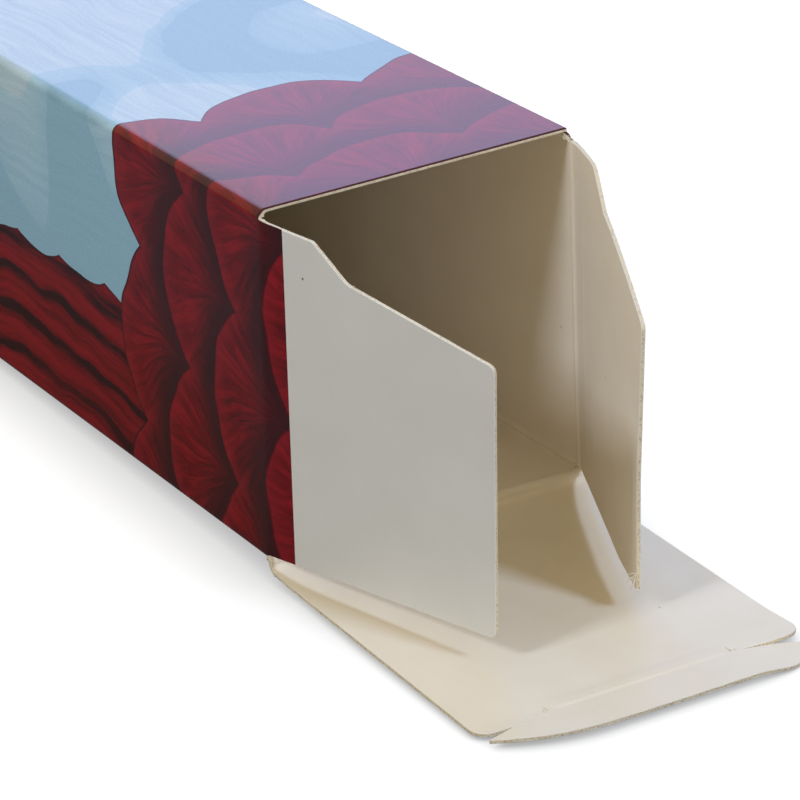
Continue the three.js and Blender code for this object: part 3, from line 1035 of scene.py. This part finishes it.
COAT_SPECK = (NEAR + 6.9, left_v(38.3))


def bare_coat():
    """Unprinted clay coat on the outside of the board: smooth, matt and faintly grey, with one
    brown speck of bark on the left flap."""
    material = new_material("bare_clay_coated_board")
    tree = material.node_tree
    place = blank_place(tree)
    fibre = add(tree, "TexNoise", {"Vector": place, "Scale": 2.6, "Detail": 4}, noise_dimensions="2D")
    cloud = add(tree, "TexNoise", {"Vector": place, "Scale": 0.12, "Detail": 3}, noise_dimensions="2D")
    tone = add(tree, "Mix", {0: cloud, 6: linear("#e6e5e0"), 7: linear("#efeeea")}, 2, data_type="RGBA")
    away = add(tree, "VectorMath", (place, (*COAT_SPECK, 0)), 1, operation="DISTANCE")
    speck = add(tree, "MapRange", {0: away, 1: 0.1, 2: 0.2, 3: 0.85, 4: 0.0})
    tone = add(tree, "Mix", {0: speck, 6: tone, 7: linear("#6a4a34")}, 2, data_type="RGBA")
    bump = add(tree, "Bump", {"Height": fibre, "Strength": 0.2, "Distance": 0.00003})
    surface = add(tree, "BsdfPrincipled", {"Base Color": tone, "Roughness": 0.6, "Normal": bump})
    add(tree, "OutputMaterial", {"Surface": surface})
    return material


def board_back():
    """Uncoated inside of folding boxboard: warm white, matt, with faint fibre clouds."""
    material = new_material("uncoated_boxboard_back")
    tree = material.node_tree
    place = blank_place(tree)
    fibre = add(tree, "TexNoise", {"Vector": place, "Scale": 2.4, "Detail": 4}, noise_dimensions="2D")
    cloud = add(tree, "TexNoise", {"Vector": place, "Scale": 0.16, "Detail": 4}, noise_dimensions="2D")
    tone = add(tree, "Mix", {0: cloud, 6: linear("#efe3cd"), 7: linear("#f6ebd8")}, 2, data_type="RGBA")
    speck = add(tree, "TexVoronoi", {"Vector": place, "Scale": 0.035}, voronoi_dimensions="2D")
    speck = add(tree, "MapRange", {0: speck, 1: 0.004, 2: 0.008, 3: 0.5, 4: 0.0})
    tone = add(tree, "Mix", {0: speck, 6: tone, 7: linear("#b89a6c")}, 2, data_type="RGBA")
    bump = add(tree, "Bump", {"Height": fibre, "Strength": 0.3, "Distance": 0.00004})
    surface = add(tree, "BsdfPrincipled", {"Base Color": tone, "Roughness": 0.8, "Normal": bump})
    add(tree, "OutputMaterial", {"Surface": surface})
    return material


def cut_edge():
    """A die-cut edge shows the board's plies: white at both faces and buff between them, with fibres frayed across the
    border between them. Where the print runs to the edge, its ink rolls over it."""
    material = new_material("fibrous_cut_board_edge")
    tree = material.node_tree
    place = add(tree, "TexCoord", output="Object")
    fibre = add(tree, "TexNoise", {"Vector": place, "Scale": 3600, "Detail": 3})
    tone = add(tree, "ValToRGB", {0: fibre})
    ramp = tone.node.color_ramp
    ramp.elements[0].position = 0.34
    ramp.elements[0].color = linear("#cdb49a")
    ramp.elements[1].position = 0.5
    ramp.elements[1].color = linear("#eee0c0")
    ply = add(tree, "Attribute", output="Fac", attribute_name="ply")
    frayed = add(tree, "Math", (fibre, 0.3, ply), operation="MULTIPLY_ADD")
    liner = add(tree, "ValToRGB", {0: frayed})
    plies = liner.node.color_ramp
    plies.elements[0].position = 0.24
    plies.elements[0].color = (1, 1, 1, 1)
    plies.elements[1].position = 1.0
    plies.elements[1].color = (1, 1, 1, 1)
    plies.elements.new(0.32).color = (0, 0, 0, 1)
    plies.elements.new(0.92).color = (0, 0, 0, 1)
    tone = add(tree, "Mix", {0: liner, 6: tone, 7: linear("#f4f0e6")}, 2, data_type="RGBA")
    along = add(tree, "SeparateXYZ", (blank_place(tree),))
    printed = add(tree, "Math", (along, NEAR + BLEED_TOP), operation="LESS_THAN")
    roll = add(tree, "MapRange", {0: along, 1: NEAR + 0.1, 2: NEAR + 0.2, 3: 0.66, 4: 0.84})
    rolled = add(tree, "Math", (ply, roll), operation="GREATER_THAN")
    inked = add(tree, "Math", (printed, rolled), operation="MULTIPLY")
    tone = add(tree, "Mix", {0: inked, 6: tone, 7: linear("#4c1a20")}, 2, data_type="RGBA")
    bump = add(tree, "Bump", {"Height": fibre, "Strength": 0.35, "Distance": 0.00006})
    surface = add(tree, "BsdfPrincipled", {"Base Color": tone, "Roughness": 0.9, "Normal": bump})
    add(tree, "OutputMaterial", {"Surface": surface})
    return material


# Pieces
finishes = [film_print(), board_back(), cut_edge(), bare_coat()]

sleeve = board_piece("sleeve_board", [sleeve_sheet(), far_flap_sheet(-1), far_flap_sheet(1)])
left_strip, left_leaf = near_flap_sheets(
    -1, LEFT_SPREAD, SHOULDER + SHOULDER_RISE, LEFT_TWIST,
)
right_strip, right_leaf = near_flap_sheets(
    1, RIGHT_SPREAD, RIGHT_ROOT_TOP, RIGHT_TWIST, RIGHT_DROOP, RIGHT_BOW, RIGHT_CURL,
)
left_crease = board_piece("left_flap_crease", [left_strip])
left_flap = board_piece("left_flap_board", [left_leaf])
right_crease = board_piece("right_flap_crease", [right_strip])
right_flap = board_piece("right_flap_board", [right_leaf])
lid_root, lid_panel, tab_fold, tab_leaf = near_lid_sheets()
lid_crease = board_piece("near_lid_crease", [lid_root])
lid = board_piece("near_lid_board", [lid_panel])
tab_strip = board_piece("near_tab_crease", [tab_fold])
tab = board_piece("near_tab_board", [tab_leaf])
far_root, far_panel, far_tab_fold, far_tab = far_lid_sheets()
far_crease = board_piece("far_lid_crease", [far_root])
far_lid = board_piece("far_lid_board", [far_panel, far_tab_fold, far_tab])

for piece, body, node in (
    (sleeve, "sleeve", "sleeve"),
    (left_flap, "left_flap", "left_dust_flap"),
    (right_flap, "right_flap", "right_dust_flap"),
    (lid, "near_lid", "near_lid"),
    (tab, "near_tab", "near_tuck_tab"),
    (far_lid, "far_lid", "far_lid"),
):
    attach(piece, body)
    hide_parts(node)


def across_crease(piece):
    """Bakes a crease strip's placement into its mesh."""
    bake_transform(piece)


across_crease(left_crease)
across_crease(right_crease)
across_crease(tab_strip)
dip, headings = follow(lid_start, 0, lid_legs, (lid_ends[1], lid_ends[3]))
across_crease(lid_crease)
across_crease(
    far_crease,
)


# Stray fibres where the board is torn or worn
def fibre_nodes():
    """Geometry nodes that set bent fibres along a path: count, length, thickness, way and seed."""
    tree = bpy.data.node_groups.new("stray_fibres", "GeometryNodeTree")
    for name, kind in (
        ("Path", "Geometry"), ("Count", "Int"), ("Length", "Float"), ("Thickness", "Float"),
        ("Way", "Vector"), ("Seed", "Int"), ("Material", "Material"),
    ):
        tree.interface.new_socket(name, in_out="INPUT", socket_type="NodeSocket" + kind)
    tree.interface.new_socket("Fibres", in_out="OUTPUT", socket_type="NodeSocketGeometry")
    given = tree.nodes.new("NodeGroupInput").outputs
    line = add(tree, "GeometryNodeMeshToCurve", {"Mesh": given["Path"]})
    roots = add(tree, "GeometryNodeResampleCurve", {"Curve": line, "Count": given["Count"]})
    stem = add(tree, "GeometryNodeCurvePrimitiveLine", {"End": (0, 0, 1)})
    stem = add(tree, "GeometryNodeResampleCurve", {"Curve": stem, "Count": 7})
    height = add(tree, "SeparateXYZ", (add(tree, "GeometryNodeInputPosition"),), 2)
    bend = add(tree, "Math", (height, 2.0), operation="POWER")
    bent = add(tree, "CombineXYZ", (add(tree, "Math", (bend, 0.45), operation="MULTIPLY"), 0.0, 0.0))
    stem = add(tree, "GeometryNodeSetPosition", {"Geometry": stem, "Offset": bent})
    radius = add(tree, "Math", (given["Thickness"], given["Length"]), operation="DIVIDE")
    ring = add(tree, "GeometryNodeCurvePrimitiveCircle", {"Resolution": 5, "Radius": radius})
    strand = add(tree, "GeometryNodeCurveToMesh", {"Curve": stem, "Profile Curve": ring, "Fill Caps": True})
    stray = add(tree, "FunctionNodeRandomValue", {"Seed": given["Seed"]}, data_type="FLOAT_VECTOR")
    stray.node.inputs[0].default_value = (-0.7, -0.7, -0.7)
    stray.node.inputs[1].default_value = (0.7, 0.7, 0.7)
    way = add(tree, "VectorMath", (given["Way"], stray), operation="ADD")
    stand = add(tree, "FunctionNodeAlignRotationToVector", {"Vector": way}, axis="Z")
    size = add(tree, "FunctionNodeRandomValue", {"Seed": given["Seed"]}, 1, data_type="FLOAT")
    size.node.inputs[2].default_value = 0.35
    size.node.inputs[3].default_value = 1.0
    size = add(tree, "Math", (size, given["Length"]), operation="MULTIPLY")
    placed = add(tree, "GeometryNodeInstanceOnPoints", {
        "Points": roots, "Instance": strand, "Rotation": stand, "Scale": size,
    })
    real = add(tree, "GeometryNodeRealizeInstances", {"Geometry": placed})
    real = add(tree, "GeometryNodeSetMaterial", {"Geometry": real, "Material": given["Material"]})
    add(tree, "NodeGroupOutput", {"Fibres": real})
    return tree


def loose_fibres():
    """Fibres of torn board: warm white, matt and soft."""
    material = new_material("loose_board_fibres")
    tree = material.node_tree
    surface = add(tree, "BsdfPrincipled", {"Base Color": linear("#f3e9d2"), "Roughness": 0.9})
    add(tree, "OutputMaterial", {"Surface": surface})
    return material


def stray_fibres(name, path, count, length, way, seed, body):
    """One object of fibres along a path given in millimetres."""
    mesh = bpy.data.meshes.new(name)
    points = settled(np.array(path, float)) * MM
    mesh.from_pydata(points.tolist(), [(i, i + 1) for i in range(len(path) - 1)], [])
    piece = bpy.data.objects.new(name, mesh)
    bpy.context.scene.collection.objects.link(piece)
    modifier = piece.modifiers.new("fibres", "NODES")
    modifier.node_group = fibre_tree
    values = {
        "Count": count, "Length": length * MM, "Thickness": FIBRE_THICKNESS * MM, "Way": way,
        "Seed": seed, "Material": fibre_material,
    }
    for socket in fibre_tree.interface.items_tree:
        if socket.name in values:
            modifier[socket.identifier] = values[socket.name]
    made = piece.evaluated_get(bpy.context.evaluated_depsgraph_get())
    piece.data = bpy.data.meshes.new_from_object(made)
    piece.modifiers.clear()
    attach(piece, body)


FIBRE_THICKNESS = 0.05
fibre_tree = fibre_nodes()
fibre_material = loose_fibres()
left_place = flap_placer(-1, LEFT_SPREAD, LEFT_TWIST, 0, 0, 0)
right_place = flap_placer(1, RIGHT_SPREAD, RIGHT_TWIST, RIGHT_DROOP, RIGHT_BOW, RIGHT_CURL)
TIP = FLAP_LENGTH + HINGE_REACH
NOTCH = SHOULDER_LENGTH + NOTCH_LENGTH + HINGE_REACH


def along(place, ends, count=6, w=0):
    """Points on a placed sheet along a line between two of its places."""
    s, t = np.linspace(*ends, count).T
    return place(s, t, np.full(count, w))


stray_fibres(
    "right_flap_tip_fibres", along(
        right_place, ((TIP - 0.5, FLAP_BASE + 1.5), (TIP - 0.05, FLAP_BASE + 2.6)), w=-0.2,
    ), 18, 1.5, (-0.2, -1.1, -0.75), 3, "right_flap",
)
stray_fibres(
    "right_flap_split_fibres", along(right_place, ((7, SHOULDER), (9.5, SHOULDER - 2.2)), w=0.1),
    14, 0.8, (-0.2, -0.6, 0.6), 5, "right_flap",
)
stray_fibres(
    "left_flap_nick_fibres", along(
        left_place, ((NOTCH + 0.4, SHOULDER - NOTCH_DEPTH), (NOTCH + 3, SHOULDER - NOTCH_DEPTH - 0.6)), w=0.1,
    ), 9, 0.45, (0.3, -0.7, 0.3), 8, "left_flap",
)
for side in (-1, 1):
    stray_fibres(
        ("left" if side < 0 else "right") + "_slit_fibres",
        along(place_lid, ((TAB_FOLD + 0.2, side * SLIT_END), (TAB_FOLD + 0.7, side * (SLIT_END + 0.8))), w=-0.22),
        5, 0.4, (-0.3, 0.2 * side, 0.8), 11 + side, "near_lid",
    )
stray_fibres(
    "mouth_corner_fibres", [(NEAR, HALF_WIDTH - 0.9, HEIGHT - 1.1), (NEAR, HALF_WIDTH - 0.4, HEIGHT - 1.5)],
    9, 0.8, (0.9, 0.1, 0.1), 21, "sleeve",
)


# Floor and backdrop
def floor_material():
    """White paper to the camera, with a painted contact shadow where something stands close to it."""
    material = new_material("white_studio_paper")
    tree = material.node_tree
    table = add(tree, "BsdfDiffuse", {"Color": (0.16, 0.16, 0.16, 1)})
    paper = add(tree, "BsdfDiffuse", {"Color": (0.13, 0.13, 0.13, 1)})
    # Painted contact shadow: ambient occlusion dims the paper's glow near the carton.
    ao_painted_shadow = add(tree, "AmbientOcclusion", {"Distance": 0.012}, "AO", samples=16)
    glow_with_painted_shadow = add(tree, "MapRange", {0: ao_painted_shadow, 1: 0, 2: 1, 3: 0.35, 4: 1})
    glow_with_painted_shadow = add(tree, "Emission", {"Color": (1, 1, 1, 1), "Strength": glow_with_painted_shadow})
    white = add(tree, "AddShader", (paper, glow_with_painted_shadow))
    seen = add(tree, "LightPath", output="Is Camera Ray")
    surface = add(tree, "MixShader", (seen, table, white))
    add(tree, "OutputMaterial", {"Surface": surface})
    return material


def make_floor():
    """A level sheet under the far end's foot and the tab's edge, 1.1 degrees off the model's."""
    foot = Vector((FAR, 0, 0))
    tip_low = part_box("near_tuck_tab")[0] / MM
    tip_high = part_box("near_tuck_tab")[1] / MM
    tip = Vector((tip_high.x, 0, tip_low.z))
    way = (tip - foot).normalized()
    mesh = bpy.data.meshes.new("floor")
    corners = []
    for along, across in ((-2500, -2500), (2500, -2500), (2500, 2500), (-2500, 2500)):
        corners.append((foot + way * along + Vector((0, across, -0.05))) * MM)
    mesh.from_pydata([tuple(c) for c in corners], [], [(0, 1, 2, 3)])
    mesh.materials.append(floor_material())
    floor = bpy.data.objects.new("floor", mesh)
    bpy.context.scene.collection.objects.link(floor)


make_floor()


# Camera
def make_camera():
    azimuth = math.radians(CAMERA_AZIMUTH)
    elevation = math.radians(CAMERA_ELEVATION)
    level = math.cos(elevation)
    view = Vector((-math.sin(azimuth) * level, math.cos(azimuth) * level, -math.sin(elevation)))
    turn = view.to_track_quat("-Z", "Y").to_matrix()
    roll = Euler((0, 0, math.radians(CAMERA_ROLL))).to_matrix()
    data = bpy.data.cameras.new("camera")
    data.lens = CAMERA_LENS
    data.sensor_width = 36
    data.clip_end = 20
    camera = bpy.data.objects.new("camera", data)
    camera.matrix_world = (turn @ roll).to_4x4()
    camera.location = CAMERA_PLACE * MM
    bpy.context.scene.collection.objects.link(camera)
    bpy.context.scene.camera = camera


make_camera()


# Light
def soft_box(name, place, aim, width, height, radiance, tint):
    data = bpy.data.lights.new(name, "AREA")
    data.shape = "RECTANGLE"
    data.size = width
    data.size_y = height
    data.energy = radiance * math.pi * width * height
    data.color = tint
    lamp = bpy.data.objects.new(name, data)
    lamp.location = place
    lamp.rotation_euler = (Vector(aim) - Vector(place)).to_track_quat("-Z", "Y").to_euler()
    bpy.context.scene.collection.objects.link(lamp)


def make_light():
    world = bpy.data.worlds.new("studio")
    bpy.context.scene.world = world
    world.use_nodes = True
    tree = world.node_tree
    tree.nodes.clear()
    around = add(tree, "Background", {"Color": (1.15, 0.98, 0.6, 1), "Strength": 0.4})
    white = add(tree, "Background", {"Color": (1, 1, 1, 1), "Strength": 1})
    seen = add(tree, "LightPath", output="Is Camera Ray")
    mixed = add(tree, "MixShader", (seen, around, white))
    add(tree, "OutputWorld", {"Surface": mixed})
    mouth = (0.095, -0.005, 0)
    soft_box("left_key", (0.181, -0.781, 0.625), mouth, 0.16, 0.16, 37, (0.91, 1, 1.19))
    soft_box("right_key", (0.777, 0.306, 0.662), mouth, 0.16, 0.16, 37, (0.79, 1.01, 1.5))
    soft_box("high_window", (-0.55, 0.35, 0.8), mouth, 0.4, 0.4, 5.5, (0, 0.3, 1))
    soft_box("window", (-0.85, 0.53, 0.5), (0.05, 0, 0.04), 0.9, 0.6, 1.1, (0.62, 0.72, 1.25))


make_light()

bpy.context.scene.view_settings.view_transform = "Standard"
